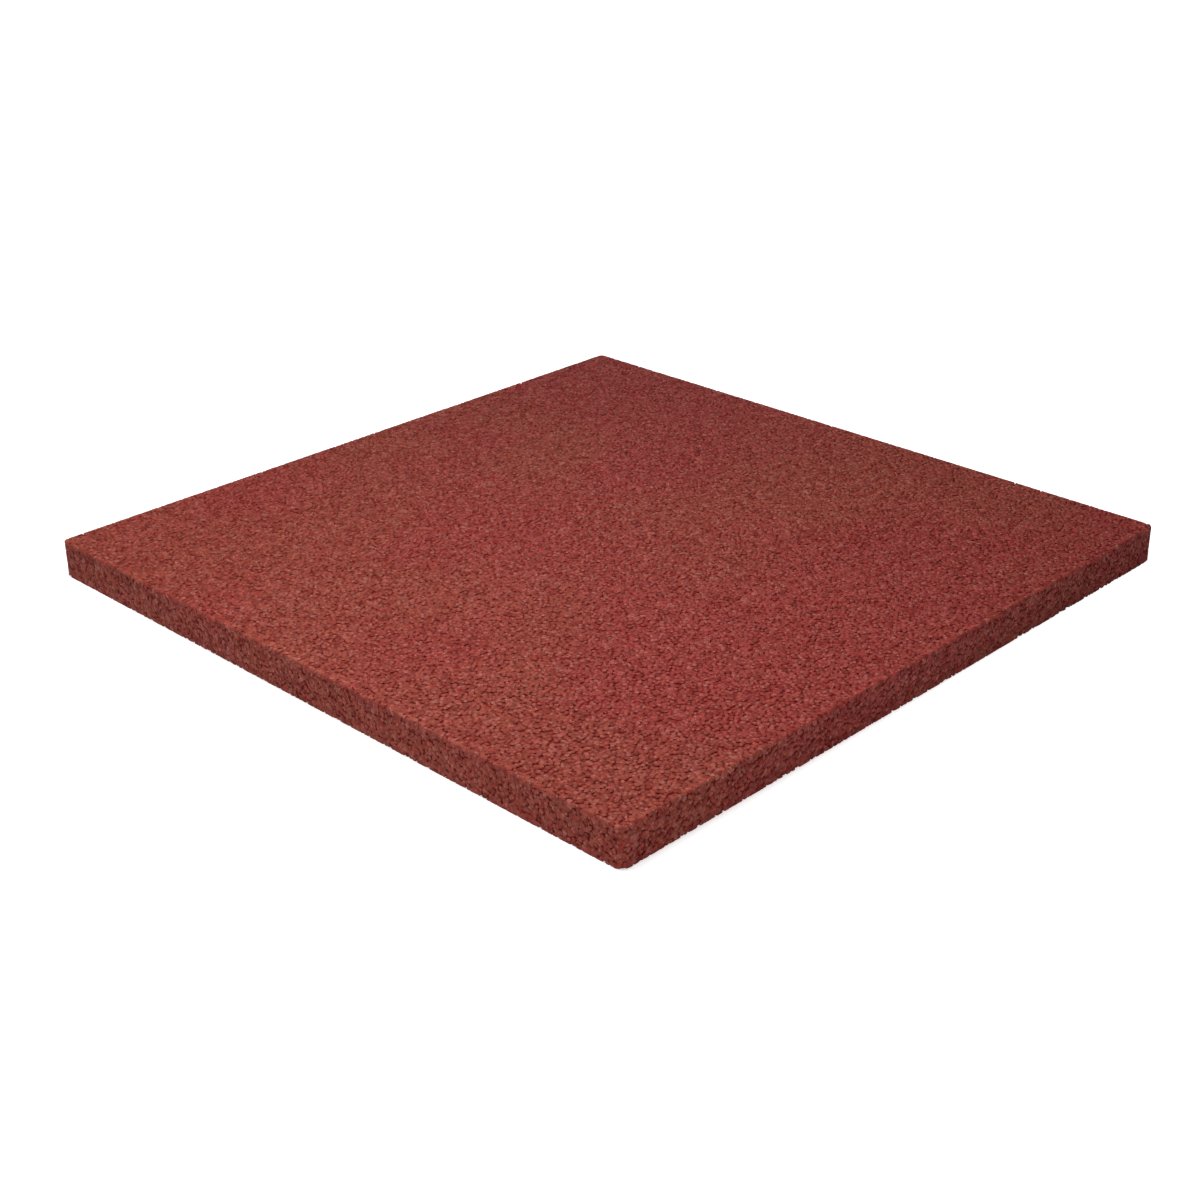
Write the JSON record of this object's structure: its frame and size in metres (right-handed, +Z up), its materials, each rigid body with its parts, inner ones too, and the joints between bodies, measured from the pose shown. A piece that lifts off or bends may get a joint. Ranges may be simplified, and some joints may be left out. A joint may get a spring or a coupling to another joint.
{
  "type": "rubber safety tile",
  "caption": "Square slab of bonded rubber crumb, laid flat edge to edge as soft, slip-resistant flooring that cushions falls.",
  "frame": {"origin": "centre of the underside, which lies on the floor", "axes": "+Z up through the thickness, X and Y along the sides"},
  "size_m": [0.5, 0.5, 0.025],
  "materials": {
    "crumb_rubber": "matt red-brown bonded rubber crumb with a granular, open-pored surface"
  },
  "bodies": {
    "root": {"rubber_tile": "crumb_rubber"}
  },
  "joints": []
}
